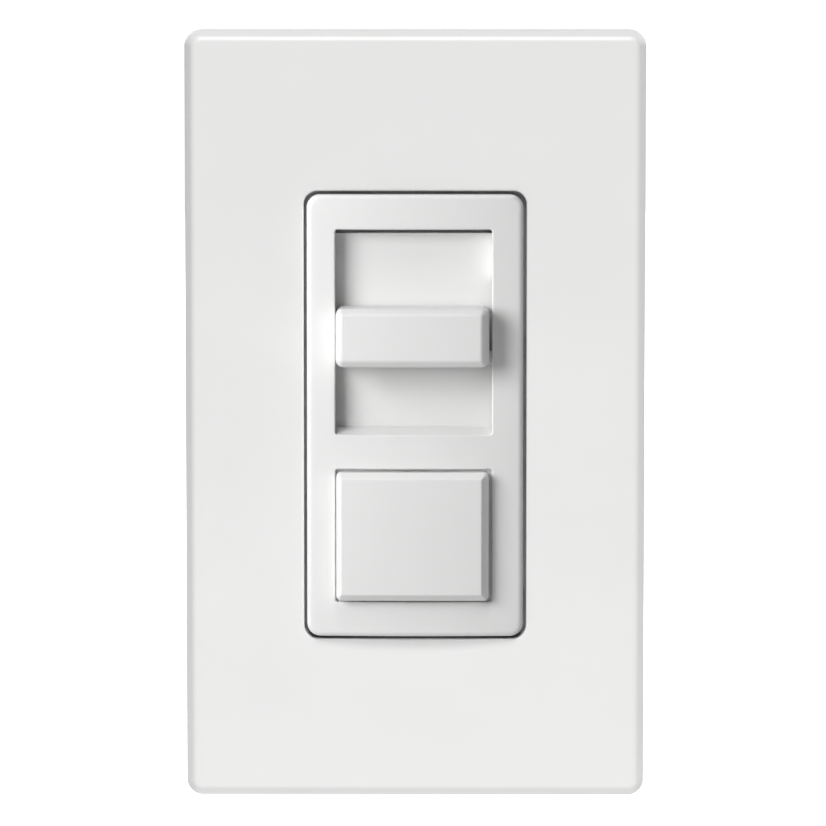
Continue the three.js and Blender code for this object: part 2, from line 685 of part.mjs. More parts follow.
function rearHousing() {
  const { halfWidth, halfHeight, depth, wall, corner, edge } = HOUSING;
  const front = STRAP.back + FIT;
  const floor = depth - wall;
  const outline = { width: 2 * halfWidth, height: 2 * halfHeight, corner, edge };
  const inside = roundedRect(2 * (halfWidth - wall), 2 * (halfHeight - wall), corner - 1);
  const shell = cut(pad(outline, depth, front), slab(inside, front - THROUGH, floor));
  const supports = [];
  const pockets = [];
  for (const side of [-1, 1]) {
    const postX = around(side * CORNER_POST.x, CORNER_POST.halfWidth);
    const { y, z, halfDepth: deep, halfHeight: tall, floor: pocketFloor } = TERMINAL;
    const pocketBlock = mirrored([pocketFloor - TERMINAL.wall, halfWidth - wall + FIT], side);
    supports.push(box(pocketBlock, around(y, deep + TERMINAL.wall), around(z, tall + TERMINAL.wall)));
    pockets.push(box(mirrored([pocketFloor, halfWidth + THROUGH], side), around(y, deep), around(z, tall)));
    const screwHole = mirrored([pocketFloor - TERMINAL.wall - THROUGH, halfWidth], side);
    pockets.push(cylinderAlongX(TERMINAL_SCREW.shank + 0.2, screwHole, y, z));
    for (const end of [-1, 1]) {
      const postZ = mirrored([CORNER_POST.inner, halfHeight - wall + FIT], end);
      supports.push(box(postX, [front, floor + FIT], postZ));
      const shelfX = mirrored([BOARD.halfWidth - 1, halfWidth - wall + FIT], side);
      const shelfZ = around(end * BOARD_SHELF_Z, 1.2);
      supports.push(box(shelfX, [BOARD.back + FIT, floor + FIT], shelfZ));
    }
    for (const z of RIVET.z) {
      pockets.push(cylinder(RIVET.shank + 0.15, [front - THROUGH, RIVET.length], side * RIVET.x, z, 12));
    }
  }
  return mesh('rear_housing', cut(join(shell, ...supports), ...pockets), 'blackPlastic');
}

// ---------------------------------------------------------------- terminals

function terminal(name, side) {
  const { y, z, floor } = TERMINAL;
  const seat = floor + 2;
  const through = mirrored([floor - THROUGH, seat + THROUGH], side);
  const hole = cylinderAlongX(TERMINAL_SCREW.shank + 0.2, through, y, z);
  const plate = box(mirrored([floor + FIT, floor + 1.1], side), around(y, 5), around(z, 4.6));
  const clamp = box(mirrored([floor + 1.2, seat - FIT], side), around(y, 3.7), around(z, 3.7));
  const screw = mesh(`${name}_terminal_screw`, screwSolid(TERMINAL_SCREW), 'brass');
  screw.position.set(side * seat, y, z);
  screw.rotation.z = (side * Math.PI) / 2;
  return [
    mesh(`${name}_terminal_plate`, cut(plate, hole), 'brass'),
    mesh(`${name}_terminal_clamp`, cut(clamp, hole), 'brass'),
    screw,
  ];
}

// ---------------------------------------------------------------- circuit board and its parts

function circuitBoard() {
  const { halfWidth, halfHeight, front, back } = BOARD;
  const sheet = box([-halfWidth, halfWidth], [front, back], [-halfHeight, halfHeight]);
  return mesh('circuit_board', sheet, 'board');
}

function triac() {
  const { x, halfWidth, tab, tabBack, body, bodyBack, holeZ } = TRIAC;
  const front = STRAP.back + FIT;
  const across = around(x, halfWidth);
  const plate = cut(
    box(across, [front, tabBack], tab),
    cylinder(TRIAC_RIVET.shank + 0.2, [front - THROUGH, tabBack + THROUGH], x, holeZ, 12),
  );
  const leadPitch = 2.5;
  const leadDrop = 2.5;
  const leads = [];
  for (const offset of [-leadPitch, 0, leadPitch]) {
    const leadX = around(x + offset, 0.4);
    leads.push(box(leadX, [2.4, 3], [body[0] - leadDrop, body[0] + FIT]));
    leads.push(box(leadX, [2.4, BOARD.front - FIT], [body[0] - leadDrop, body[0] - leadDrop + 0.6]));
  }
  const rivet = mesh('triac_rivet', rivetSolid(TRIAC_RIVET), 'aluminium');
  rivet.position.set(x, tabBack + FIT / 2, holeZ);
  rivet.rotation.x = Math.PI;
  return [
    mesh('triac_tab', plate, 'zincSteel'),
    mesh('triac_body', join(box(across, [front, bodyBack], body), ...leads), 'blackPlastic'),
    rivet,
  ];
}

function ring(inner, outer, front, back) {
  return revolved([[inner, front], [outer, front], [outer, back], [inner, back], [inner, front]], 20);
}

function choke() {
  const { x, z, inner, outer, front, back, wire } = CHOKE;
  const core = mesh('choke_core', ring(inner, outer, front, back), 'ferrite');
  const gap = box([-2.2, 2.2], [front - 3, back + 3], [-outer - 3, 0]);
  const wound = cut(
    ring(inner - wire, outer + wire, front - wire, back + wire),
    ring(inner - FIT, outer + FIT, front - FIT, back + FIT),
    gap,
  );
  const winding = mesh('choke_winding', wound, 'copperWire');
  const group = new THREE.Group();
  group.add(core, winding);
  group.position.set(x, 0, z);
  return group;
}

// A boxed film capacitor standing on the back of the board.
function filmCapacitor(name, { x, z, width, height, back }) {
  const solid = box(around(x, width / 2), [BOARD.back + FIT, back], around(z, height / 2));
  return mesh(name, solid, 'yellowFilm');
}

// A part with a lead at each end, lying across the back of the board.
function axialPart(name, { x, z, radius, length, look }) {
  const lift = radius + 0.6;
  const neck = 0.8;
  const lead = 0.3;
  const bend = length / 2 + 1.6;
  const body = revolved([
    [0, -length / 2],
    [radius * neck, -length / 2],
    [radius, -length / 2 + 0.6],
    [radius, length / 2 - 0.6],
    [radius * neck, length / 2],
    [0, length / 2],
  ], 10);
  const leads = [];
  for (const side of [-1, 1]) {
    leads.push(box([-lead, lead], mirrored([length / 2 - FIT, bend], side), [-lead, lead]));
    leads.push(box([-lead, lift - FIT], mirrored([bend - 2 * lead, bend], side), [-lead, lead]));
  }
  const part = mesh(name, join(body, ...leads), look);
  part.position.set(x, BOARD.back + lift, z);
  part.rotation.z = -Math.PI / 2;
  return part;
}

function boardComponents() {
  const resistor = { radius: 1.2, length: 6.3, look: 'resistorTan' };
  return [
    filmCapacitor('suppression_capacitor', { x: 9.5, z: 15, width: 12, height: 18, back: 24.5 }),
    filmCapacitor('timing_capacitor', { x: 8, z: -2.5, width: 6, height: 7.5, back: 20 }),
    axialPart('diac', { x: -9, z: -3, radius: 1, length: 4, look: 'glassOrange' }),
    axialPart('resistor_1', { x: -9, z: -8, ...resistor }),
    axialPart('resistor_2', { x: -9, z: -13, ...resistor }),
    axialPart('resistor_3', { x: 8, z: -12, ...resistor }),
    axialPart('thermal_cutoff', { x: 0, z: -20, radius: 2, length: 9, look: 'ceramic' }),
  ];
}

// ---------------------------------------------------------------- assembly

const dimmer = new THREE.Group();
dimmer.add(
  wallplateCover(),
  wallplateAdapter(),
  ...adapterScrews(),
  faceBezel(),
  trackFloorPanel(),
  sliderKnob(),
  sliderCarriage(),
  slidePotLever(),
  wiperContact(),
  slidePotHousing(),
  slidePotTrack(),
  pushButton(),
  buttonReturnSpring(),
  switchPlunger(),
  switchBody(),
  contactArm(),
  contactArmPin(),
  movingContact(),
  fixedContact(),
  mountingStrap(),
  ...boxScrews(),
  ...retainerWashers(),
  groundClamp(),
  groundScrew(),
  rearHousing(),
  ...housingRivets(),
  ...terminal('line', -1),
  ...terminal('load', 1),
  circuitBoard(),
  ...triac(),
  choke(),
  ...boardComponents(),
);

export default dimmer;
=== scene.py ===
import json
import math

import bmesh
import bpy
from mathutils import Matrix, Vector


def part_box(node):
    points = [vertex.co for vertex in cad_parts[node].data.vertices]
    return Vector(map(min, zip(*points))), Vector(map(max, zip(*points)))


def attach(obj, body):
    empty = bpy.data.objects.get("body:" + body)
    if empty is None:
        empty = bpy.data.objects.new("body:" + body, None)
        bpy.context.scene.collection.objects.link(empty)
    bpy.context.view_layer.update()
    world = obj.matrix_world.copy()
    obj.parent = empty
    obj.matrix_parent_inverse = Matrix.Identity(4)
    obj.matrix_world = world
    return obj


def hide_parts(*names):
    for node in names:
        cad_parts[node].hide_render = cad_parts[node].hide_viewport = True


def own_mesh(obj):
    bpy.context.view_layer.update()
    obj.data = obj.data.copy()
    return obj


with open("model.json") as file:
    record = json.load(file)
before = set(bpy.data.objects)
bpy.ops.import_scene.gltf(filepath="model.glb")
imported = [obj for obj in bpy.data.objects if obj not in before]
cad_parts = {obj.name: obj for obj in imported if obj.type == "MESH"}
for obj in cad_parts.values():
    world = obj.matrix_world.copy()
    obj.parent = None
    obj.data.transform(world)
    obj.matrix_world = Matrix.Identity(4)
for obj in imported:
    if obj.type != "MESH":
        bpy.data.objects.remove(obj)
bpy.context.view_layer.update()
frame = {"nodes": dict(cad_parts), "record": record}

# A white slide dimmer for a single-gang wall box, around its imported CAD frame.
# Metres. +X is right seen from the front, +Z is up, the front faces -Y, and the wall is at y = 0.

MM = 0.001      # materials are in metres, and the shapes below in millimetres
MM_PER_METRE = 1000
SLOT_OF = {part["node"]: part["material_slot"] for part in frame["record"]["subparts"]}
BODY_OF = {
    node: body
    for body, nodes in frame["record"]["behaviour"]["bodies"].items()
    for node in nodes
}


# ---------------------------------------------------------------- node helpers

def new_material(name):
    material = bpy.data.materials.new(name)
    material.use_nodes = True
    tree = material.node_tree
    return material, tree, tree.nodes["Principled BSDF"]


def object_coordinates(tree, scale=(1, 1, 1)):
    """Object coordinates in metres, stretched by scale."""
    place = tree.nodes.new("ShaderNodeTexCoord")
    mapping = tree.nodes.new("ShaderNodeMapping")
    mapping.inputs["Scale"].default_value = scale
    tree.links.new(place.outputs["Object"], mapping.inputs["Vector"])
    return mapping.outputs["Vector"]


def noise(tree, vector, size, detail=3, roughness=0.5):
    """Noise whose blobs are about `size` metres across."""
    node = tree.nodes.new("ShaderNodeTexNoise")
    node.inputs["Scale"].default_value = 1 / size
    node.inputs["Detail"].default_value = detail
    node.inputs["Roughness"].default_value = roughness
    tree.links.new(vector, node.inputs["Vector"])
    return node.outputs["Fac"]


def ramp(tree, value, low, high, start=0.3, end=0.7):
    """Maps a 0..1 value to a colour between low and high."""
    node = tree.nodes.new("ShaderNodeValToRGB")
    node.color_ramp.elements[0].position = start
    node.color_ramp.elements[1].position = end
    node.color_ramp.elements[0].color = (*low, 1)
    node.color_ramp.elements[1].color = (*high, 1)
    tree.links.new(value, node.inputs["Fac"])
    return node.outputs["Color"]


def spread(tree, value, low, high):
    """Maps a value from 0.3 to 0.7 to a number between low and high."""
    node = tree.nodes.new("ShaderNodeMapRange")
    node.inputs["From Min"].default_value = 0.3
    node.inputs["From Max"].default_value = 0.7
    node.inputs["To Min"].default_value = low
    node.inputs["To Max"].default_value = high
    tree.links.new(value, node.inputs["Value"])
    return node.outputs["Result"]


def add_bump(tree, shader, height, distance, below=None):
    """Raises the surface by up to distance metres where height is 1, on top of the bump below."""
    node = tree.nodes.new("ShaderNodeBump")
    node.inputs["Distance"].default_value = distance
    node.inputs["Strength"].default_value = 1
    tree.links.new(height, node.inputs["Height"])
    if below is not None:
        tree.links.new(below, node.inputs["Normal"])
    tree.links.new(node.outputs["Normal"], shader.inputs["Normal"])
    return node.outputs["Normal"]


# ---------------------------------------------------------------- materials

def moulded_plastic(
    name, colour, roughness, grain=0.35 * MM, grain_depth=0.004 * MM, tint=0.015, coat=0.0
):
    """Injection-moulded plastic: a fine spark-eroded grain, slow colour drift and uneven gloss."""
    material, tree, shader = new_material(name)
    where = object_coordinates(tree)
    drift = noise(tree, where, 18 * MM, detail=2)
    darker = tuple(max(0, c - tint) for c in colour)
    tree.links.new(ramp(tree, drift, darker, colour), shader.inputs["Base Color"])
    patches = noise(tree, where, 6 * MM, detail=4)
    tree.links.new(spread(tree, patches, roughness - 0.04, roughness + 0.05), shader.inputs["Roughness"])
    shader.inputs["IOR"].default_value = 1.49
    shader.inputs["Coat Weight"].default_value = coat
    shader.inputs["Coat Roughness"].default_value = 0.25
    waves = noise(tree, where, 9 * MM, detail=1)
    under = add_bump(tree, shader, waves, 0.012 * MM)
    fine = noise(tree, where, grain, detail=4, roughness=0.6)
    add_bump(tree, shader, fine, grain_depth, below=under)
    return material


def brushed_metal(name, colour, roughness):
    """Rolled or brushed metal: streaks along Z, stains and fine dents."""
    material, tree, shader = new_material(name)
    shader.inputs["Metallic"].default_value = 1
    along_z = object_coordinates(tree, (1, 1, 0.03))
    streaks = noise(tree, along_z, 0.12 * MM, detail=4, roughness=0.65)
    where = object_coordinates(tree)
    stains = noise(tree, where, 7 * MM, detail=5)
    darker = tuple(c * 0.8 for c in colour)
    tree.links.new(ramp(tree, stains, darker, colour, 0.35, 0.6), shader.inputs["Base Color"])
    tree.links.new(spread(tree, streaks, roughness - 0.08, roughness + 0.12), shader.inputs["Roughness"])
    under = add_bump(tree, shader, streaks, 0.002 * MM)
    dents = noise(tree, where, 3 * MM, detail=2)
    add_bump(tree, shader, dents, 0.01 * MM, below=under)
    return material


def plated_metal(name, colour, roughness, tarnish):
    """Plated or turned small metal: cloudy tarnish, darker spots and a fine turned texture."""
    material, tree, shader = new_material(name)
    shader.inputs["Metallic"].default_value = 1
    where = object_coordinates(tree)
    clouds = noise(tree, where, 1.6 * MM, detail=6, roughness=0.62)
    tree.links.new(ramp(tree, clouds, tarnish, colour, 0.36, 0.58), shader.inputs["Base Color"])
    tree.links.new(spread(tree, clouds, roughness + 0.14, roughness), shader.inputs["Roughness"])
    grain = noise(tree, where, 0.12 * MM, detail=3)
    add_bump(tree, shader, grain, 0.003 * MM)
    return material


def pressed_fibre(name, light, dark):
    """Pressed fibre board: short matted fibres over a mottled brown sheet."""
    material, tree, shader = new_material(name)
    mottle = noise(tree, object_coordinates(tree), 0.9 * MM, detail=6, roughness=0.7)
    fibres = noise(tree, object_coordinates(tree, (0.12, 1, 1)), 0.14 * MM, detail=4)
    tree.links.new(ramp(tree, mottle, dark, light), shader.inputs["Base Color"])
    shader.inputs["Roughness"].default_value = 0.85
    under = add_bump(tree, shader, fibres, 0.03 * MM)
    add_bump(tree, shader, mottle, 0.03 * MM, below=under)
    return material


def board_laminate(name):
    """Glass-cloth board: a woven pattern of crossing threads under green solder mask."""
    material, tree, shader = new_material(name)
    waves = []
    for axis in ("X", "Z"):
        wave = tree.nodes.new("ShaderNodeTexWave")
        wave.bands_direction = axis
        wave.inputs["Scale"].default_value = 1 / (2.2 * MM)
        wave.inputs["Distortion"].default_value = 0.6
        tree.links.new(object_coordinates(tree), wave.inputs["Vector"])
        waves.append(wave.outputs["Fac"])
    weave = tree.nodes.new("ShaderNodeMath")
    weave.operation = "MULTIPLY"
    tree.links.new(waves[0], weave.inputs[0])
    tree.links.new(waves[1], weave.inputs[1])
    green = ramp(tree, weave.outputs["Value"], (0.015, 0.1, 0.045), (0.03, 0.19, 0.09), 0.1, 0.9)
    tree.links.new(green, shader.inputs["Base Color"])
    shader.inputs["Roughness"].default_value = 0.38
    add_bump(tree, shader, weave.outputs["Value"], 0.02 * MM)
    return material


def wound_wire(name, colour):
    """Enamelled copper wire: glossy, with uneven patches about as wide as a turn."""
    material, tree, shader = new_material(name)
    shader.inputs["Metallic"].default_value = 0.9
    clouds = noise(tree, object_coordinates(tree), 0.5 * MM, detail=4)
    darker = tuple(c * 0.6 for c in colour)
    tree.links.new(ramp(tree, clouds, darker, colour), shader.inputs["Base Color"])
    shader.inputs["Roughness"].default_value = 0.28
    shader.inputs["Coat Weight"].default_value = 0.6
    add_bump(tree, shader, clouds, 0.01 * MM)
    return material


def glazed(name, colour, roughness, speck):
    """A dipped or fired coating with small specks, as on resistors and cores."""
    material, tree, shader = new_material(name)
    where = object_coordinates(tree)
    specks = noise(tree, where, 0.35 * MM, detail=5, roughness=0.7)
    tree.links.new(ramp(tree, specks, speck, colour, 0.32, 0.5), shader.inputs["Base Color"])
    shader.inputs["Roughness"].default_value = roughness
    add_bump(tree, shader, noise(tree, where, 0.8 * MM, detail=3), 0.015 * MM)
    return material


COVER_WHITE = (0.86, 0.86, 0.855)
FACE_WHITE = (0.88, 0.88, 0.876)

MATERIALS = {
    "cover_plastic": moulded_plastic("cover_plastic", COVER_WHITE, 0.42, coat=0.15),
    "bezel_plastic": moulded_plastic("bezel_plastic", FACE_WHITE, 0.38, coat=0.15),
    "floor_plastic": moulded_plastic("floor_plastic", FACE_WHITE, 0.5),
    "knob_plastic": moulded_plastic("knob_plastic", FACE_WHITE, 0.36, coat=0.2),
    "button_plastic": moulded_plastic("button_plastic", FACE_WHITE, 0.4, coat=0.15),
    "adapter_plastic": moulded_plastic("adapter_plastic", (0.7, 0.7, 0.68), 0.55),
    "carriage_plastic": moulded_plastic("carriage_plastic", (0.66, 0.61, 0.48), 0.5, tint=0.03),
    "black_plastic": moulded_plastic("black_plastic", (0.022, 0.022, 0.024), 0.5, tint=0.006),
    "switch_plastic": moulded_plastic("switch_plastic", (0.07, 0.072, 0.08), 0.5, tint=0.01),
    "housing_plastic": moulded_plastic(
        "housing_plastic", (0.03, 0.03, 0.032), 0.48, grain=0.5 * MM, grain_depth=0.012 * MM, tint=0.008
    ),
    "strap_aluminium": brushed_metal("strap_aluminium", (0.62, 0.63, 0.65), 0.36),
    "screw_steel": plated_metal("screw_steel", (0.62, 0.62, 0.62), 0.3, (0.36, 0.36, 0.37)),
    "spring_steel": plated_metal("spring_steel", (0.42, 0.43, 0.45), 0.3, (0.25, 0.25, 0.27)),
    "terminal_brass": plated_metal("terminal_brass", (0.72, 0.5, 0.2), 0.3, (0.4, 0.25, 0.1)),
    "contact_silver": plated_metal("contact_silver", (0.75, 0.75, 0.76), 0.22, (0.45, 0.44, 0.42)),
    "ground_green": plated_metal("ground_green", (0.05, 0.26, 0.07), 0.34, (0.02, 0.11, 0.03)),
    "fibre_board": pressed_fibre("fibre_board", (0.3, 0.18, 0.1), (0.14, 0.075, 0.04)),
    "board_laminate": board_laminate("board_laminate"),
    "choke_ferrite": glazed("choke_ferrite", (0.045, 0.05, 0.055), 0.45, (0.02, 0.02, 0.022)),
    "winding_copper": wound_wire("winding_copper", (0.55, 0.2, 0.07)),
    "film_yellow": moulded_plastic("film_yellow", (0.68, 0.46, 0.04), 0.36, tint=0.04, coat=0.4),
    "diac_glass": glazed("diac_glass", (0.55, 0.16, 0.03), 0.15, (0.3, 0.07, 0.02)),
    "resistor_tan": glazed("resistor_tan", (0.58, 0.42, 0.24), 0.4, (0.4, 0.27, 0.14)),
    "cutoff_ceramic": glazed("cutoff_ceramic", (0.72, 0.69, 0.6), 0.6, (0.5, 0.47, 0.4)),
}


# ---------------------------------------------------------------- shape helpers, in millimetres

TINY = 1e-6
MERGE_DISTANCE = 2e-4
CAD_MERGE_DISTANCE = 2e-3
THREAD_PITCH = 0.794
THREAD_DEPTH = 0.3
SMOOTH_ANGLE = 38       # an edge sharper than this many degrees is shown as an edge
ROUNDED_ANGLE = 32      # an edge sharper than this many degrees is rounded on a refined node
SQUARE = ((-1, -1), (1, -1), (1, 1), (-1, 1))


def limits(node):
    """Lowest and highest corner of a CAD node, in millimetres."""
    low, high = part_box(node)
    return low * MM_PER_METRE, high * MM_PER_METRE


def face_of(node):
    """A CAD node's rectangle seen from the front: (x0, x1, z0, z1)."""
    low, high = limits(node)
    return (low.x, high.x, low.z, high.z)


def inset(rect, amount):
    """The rectangle, smaller by amount on all four sides."""
    x0, x1, z0, z1 = rect
    return (x0 + amount, x1 - amount, z0 + amount, z1 - amount)


def levels(*breaks, step):
    """The breaks, and evenly spaced levels between them no further than step apart."""
    found = [breaks[0]]
    for low, high in zip(breaks, breaks[1:]):
        count = max(1, math.ceil((high - low) / step))
        found += [low + (high - low) * part / count for part in range(1, count + 1)]
    return found


def between(found, low, high):
    """The levels that lie from low to high."""
    return [level for level in found if low - TINY <= level <= high + TINY]


def shares(found):
    """How far along their whole length the levels lie, from 0 to 1."""
    return [(level - found[0]) / (found[-1] - found[0]) for level in found]


class Outline:
    """A rounded rectangle in X and Z.

    Its offset rings all have the same number of points: a corner has arc segments, and a straight
    side has a point at each share of its length.
    """

    def __init__(self, rect, radius, columns=(0, 1), rows=(0, 1), arc=4):
        self.rect = rect
        self.radius = radius
        self.columns = columns
        self.rows = rows
        self.arc = arc

    def ring(self, offset, depth, radius=None, bend=None):
        """The outline, offset inwards, at a depth that may bend with x and z."""
        x0, x1, z0, z1 = inset(self.rect, offset)
        r = max(0, self.radius - offset) if radius is None else radius
        left, right, low, high = x0 + r, x1 - r, z0 + r, z1 - r
        across = [left + (right - left) * share for share in self.columns[1:-1]]
        up = [low + (high - low) * share for share in self.rows[1:-1]]
        corners = [(right, low, -90), (right, high, 0), (left, high, 90), (left, low, 180)]
        sides = [
            [(x1, z) for z in up],
            [(x, z1) for x in reversed(across)],
            [(x0, z) for z in reversed(up)],
            [(x, z0) for x in across],
        ]
        flat = []
        for (cx, cz, start), side in zip(corners, sides):
            for step in range(self.arc + 1):
                angle = math.radians(start + 90 * step / self.arc)
                flat.append((cx + r * math.cos(angle), cz + r * math.sin(angle)))
            flat += side
        return [(x, depth + (bend(x, z) if bend else 0), z) for x, z in flat]


def soften(corners, steps=5):
    """Rounds a profile's inner corners. A corner is (offset, depth, radius)."""
    path = []
    for index, (offset, depth, radius) in enumerate(corners):
        here = Vector((offset, depth))
        if radius == 0:
            path.append(here)
            continue
        before = Vector(corners[index - 1][:2]) - here
        after = Vector(corners[index + 1][:2]) - here
        start = here + before.normalized() * radius
        end = here + after.normalized() * radius
        for step in range(steps + 1):
            t = step / steps
            path.append(start * (1 - t) ** 2 + here * (2 * t * (1 - t)) + end * t * t)
    return path


def skin(bm, rings, wrap=False, first_cap=False, last_cap=False):
    """Faces between neighbouring rings of points."""
    loops = [[bm.verts.new(point) for point in ring] for ring in rings]
    pairs = list(zip(loops, loops[1:]))
    if wrap:
        pairs.append((loops[-1], loops[0]))
    for near, far in pairs:
        for index in range(len(near)):
            after = (index + 1) % len(near)
            bm.faces.new((near[index], near[after], far[after], far[index]))
    if first_cap:
        bm.faces.new(loops[0])
    if last_cap:
        bm.faces.new(loops[-1])


def sheet(bm, columns, rows, depth, holes=()):
    """A sheet with a point at each crossing of the levels; the cells inside a hole are left out."""
    points = {}
    for x in columns:
        for z in rows:
            points[x, z] = bm.verts.new((x, depth(x, z), z))
    for x0, x1 in zip(columns, columns[1:]):
        for z0, z1 in zip(rows, rows[1:]):
            x, z = (x0 + x1) / 2, (z0 + z1) / 2
            if any(left < x < right and low < z < high for left, right, low, high in holes):
                continue
            bm.faces.new((points[x0, z0], points[x1, z0], points[x1, z1], points[x0, z1]))


def slab(bm, rect, y0, y1, corner=0.25, edge=0.15, arc=3):
    """A block with rounded corners and edges, from depth y0 to y1."""
    shape = Outline(rect, corner, arc=arc)
    path = soften([(2 * edge, y0, 0), (0, y0, edge), (0, y1, edge), (2 * edge, y1, 0)], steps=2)
    skin(bm, [shape.ring(offset, y) for offset, y in path], first_cap=True, last_cap=True)


def prism(bm, side, x0, x1):
    """A (depth, height) side view, swept from x0 to x1."""
    skin(bm, [[(x, y, z) for y, z in side] for x in (x0, x1)], first_cap=True, last_cap=True)


def lathe(bm, profile, centre, axis, segments=48):
    """Turns a profile round an axis. A point is (radius, height, whether a thread is cut into it)."""
    axis = Vector(axis)
    side = axis.orthogonal().normalized()
    other = axis.cross(side)
    rings = []
    for radius, height, threaded in profile:
        ring = []
        for index in range(segments):
            turn = index / segments
            groove = abs(((height / THREAD_PITCH - turn) % 1) * 2 - 1) if threaded else 0
            reach = radius - THREAD_DEPTH * groove
            angle = turn * math.tau
            out = side * math.cos(angle) + other * math.sin(angle)
            ring.append(Vector(centre) + axis * height + out * reach)
        rings.append(ring)
    skin(bm, rings)


def turned(points):
    """A profile for lathe, of (radius, height) points without a thread."""
    return [(radius, height, False) for radius, height in points]


PIECES = {}


def mesh_of(bm, name):
    """Closes and cleans a shape, and makes its mesh in metres."""
    bmesh.ops.remove_doubles(bm, verts=bm.verts, dist=MERGE_DISTANCE)
    bmesh.ops.dissolve_degenerate(bm, edges=bm.edges, dist=1e-4)
    loose = [vert for vert in bm.verts if not vert.link_faces]
    bmesh.ops.delete(bm, geom=loose, context="VERTS")
    bmesh.ops.recalc_face_normals(bm, faces=bm.faces)
    bmesh.ops.scale(bm, vec=(MM, MM, MM), verts=bm.verts)
    mesh = bpy.data.meshes.new(name)
    bm.to_mesh(mesh)
    bm.free()
    return mesh


def place(name, mesh, *nodes):
    """Shows a mesh as a piece that stands for these CAD nodes, with the first one's body and finish."""
    mesh.shade_smooth()
    mesh.set_sharp_from_angle(angle=math.radians(SMOOTH_ANGLE))
    mesh.materials.clear()
    mesh.materials.append(MATERIALS[SLOT_OF[nodes[0]]])
    piece = bpy.data.objects.new(name, mesh)
    bpy.context.scene.collection.objects.link(piece)
    weighted = piece.modifiers.new("weighted_normal", "WEIGHTED_NORMAL")
    weighted.keep_sharp = True
    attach(piece, BODY_OF[nodes[0]])
    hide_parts(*nodes)
    PIECES[name] = piece
    return piece


def carved(mesh, cutter):
    """The mesh with the cutter's volume taken out of it."""
    body = bpy.data.objects.new("carved_body", mesh)
    tool = bpy.data.objects.new("carving_tool", cutter)
    for item in (body, tool):
        bpy.context.scene.collection.objects.link(item)
    boolean = body.modifiers.new("carve", "BOOLEAN")
    boolean.operation = "DIFFERENCE"
    boolean.solver = "EXACT"
    boolean.object = tool
    graph = bpy.context.evaluated_depsgraph_get()
    result = bpy.data.meshes.new_from_object(body.evaluated_get(graph))
    for item in (body, tool):
        bpy.data.objects.remove(item)
    return result


# ---------------------------------------------------------------- cover

def wallplate_cover():
    low, high = limits("wallplate_cover")
    front, back = low.y, high.y
    wall = 1.6
    inside = front + wall
    rim = face_of("wallplate_cover")
    window = inset(face_of("face_bezel"), -0.45)
    outer = Outline(rim, 2.4, arc=10)
    opening = Outline(window, 2, arc=10)
    bm = bmesh.new()
    outside = soften([
        (4, front, 0),
        (1.15, front, 0.6),
        (0, front + 1.45, 0.4),
        (0, back, 0.25),
        (wall, back, 0.25),
        (wall, inside, 0.3),
        (3.4, inside, 0),
    ], steps=7)
    hole = soften([(-1.5, inside, 0), (0, inside, 0.1), (0, front, 0.32), (-1.2, front, 0)])
    rings = [outer.ring(offset, y) for offset, y in outside]
    rings += [opening.ring(offset, y) for offset, y in hole]
    skin(bm, rings, wrap=True)
    half_rib = 4.5
    rib_front, rib_back = -1.5, -0.7
    rib_reach, sunk = 0.8, 0.1
    for side in (-1, 1):
        x0, x1 = sorted((side * (high.x - wall - rib_reach), side * (high.x - wall + sunk)))
        for z in (-30, 30):
            slab(bm, (x0, x1, z - half_rib, z + half_rib), rib_front, rib_back, corner=0.2, edge=0.2)
        z0, z1 = sorted((side * (high.z - wall - rib_reach), side * (high.z - wall + sunk)))
        slab(bm, (-half_rib, half_rib, z0, z1), rib_front, rib_back, corner=0.2, edge=0.2)
    place("cover_shell", mesh_of(bm, "cover_shell"), "wallplate_cover")


# ---------------------------------------------------------------- bezel and the recess floor

RECESS = (-11.8, 11.4, -2.7, 27.7)
OPENING = (-11.8, 11.4, -27.7, -7.9)
RECESS_BACK = -4.3
TONGUE_SLOT_TOP = 20.4


def crowned(half_width, rise, half_height=1.0, rise_z=0.0, z_middle=0.0):
    """How far a face falls back from its middle, as a depth added at (x, z)."""
    def bend(x, z):
        return rise * (x / half_width) ** 2 + rise_z * ((z - z_middle) / half_height) ** 2
    return bend


def bent_rings(shape, path, bend, bent_until):
    """Rings of a profile between two sheets. Depths in front of bent_until follow the bend."""
    rings = []
    for index, (offset, y) in enumerate(path):
        radius = 0 if index in (0, len(path) - 1) else None
        rings.append(shape.ring(offset, y, radius, bend if y < bent_until else None))
    return rings


